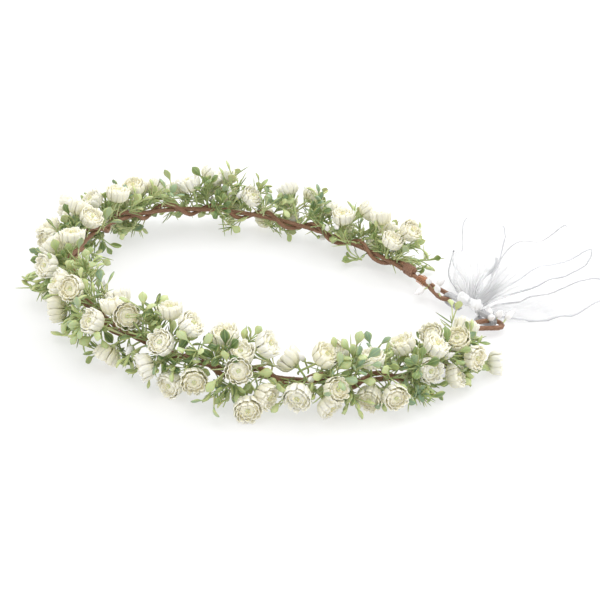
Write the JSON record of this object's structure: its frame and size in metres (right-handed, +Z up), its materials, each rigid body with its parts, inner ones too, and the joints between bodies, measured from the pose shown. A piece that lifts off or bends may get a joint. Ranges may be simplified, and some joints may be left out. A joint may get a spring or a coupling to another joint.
{
  "type": "flower crown",
  "caption": "Open wire hoop of twisted paper-wrapped strands carrying small cream blossoms, leaves and buds, tied at the back with an organza bow.",
  "frame": {"origin": "middle of the head opening, on the surface that the crown lies on", "axes": "+Z up out of the opening, -Y towards the forehead, +X towards the wearer's left, so +Y is the back of the head, where the ribbon ties"},
  "size_m": [0.2383, 0.3108, 0.0384],
  "materials": {
    "vine_paper": "twisted brown paper, slightly glossy",
    "core_wire": "bare iron florist's wire",
    "wrap_wire": "thin copper-coloured wire",
    "end_tape": "brown florist's tape, matt",
    "petal": "translucent cream moulded plastic",
    "leaf": "green moulded plastic, satin",
    "bud": "white moulded plastic, satin",
    "organza": "sheer white organza"
  },
  "bodies": {
    "crown": {"blossom_sprig_01": "petal", "blossom_sprig_02": "petal", "blossom_sprig_03": "petal", "blossom_sprig_04": "petal", "blossom_sprig_05": "petal", "blossom_sprig_06": "petal", "blossom_sprig_07": "petal", "blossom_sprig_08": "petal", "blossom_sprig_09": "petal", "blossom_sprig_10": "petal", "blossom_sprig_11": "petal", "blossom_sprig_12": "petal", "blossom_sprig_13": "petal", "blossom_sprig_14": "petal", "bud_sprig_01": "bud", "bud_sprig_02": "bud", "bud_sprig_03": "bud", "bud_sprig_04": "bud", "bud_sprig_05": "bud", "bud_sprig_06": "bud", "bud_sprig_07": "bud", "hoop_paper_wrap": "vine_paper", "hoop_wire": "core_wire", "leaf_sprig_01": "leaf", "leaf_sprig_02": "leaf", "leaf_sprig_03": "leaf", "leaf_sprig_04": "leaf", "leaf_sprig_05": "leaf", "leaf_sprig_06": "leaf", "leaf_sprig_07": "leaf", "leaf_sprig_08": "leaf", "leaf_sprig_09": "leaf", "leaf_sprig_10": "leaf", "leaf_sprig_11": "leaf", "leaf_sprig_12": "leaf", "leaf_sprig_13": "leaf", "leaf_sprig_14": "leaf", "left_end_tape": "end_tape", "left_eyelet_wrap": "wrap_wire", "ribbon_tie_left": "organza", "ribbon_tie_right": "organza", "right_end_tape": "end_tape", "right_eyelet_wrap": "wrap_wire", "vine_paper_wrap": "vine_paper", "vine_wire": "core_wire"},
    "bow": {"ribbon_knot": "organza", "ribbon_loop_left": "organza", "ribbon_loop_right": "organza", "ribbon_tail_left": "organza", "ribbon_tail_right": "organza"}
  },
  "joints": [
    {"name": "bow_swing", "type": "hinge", "parent": "crown", "child": "bow", "pos_m": [-0.02876, 0.09481, 0.00482], "axis": [0.5312, 0.8457, -0.0507], "range_deg": [0, 60]}
  ]
}
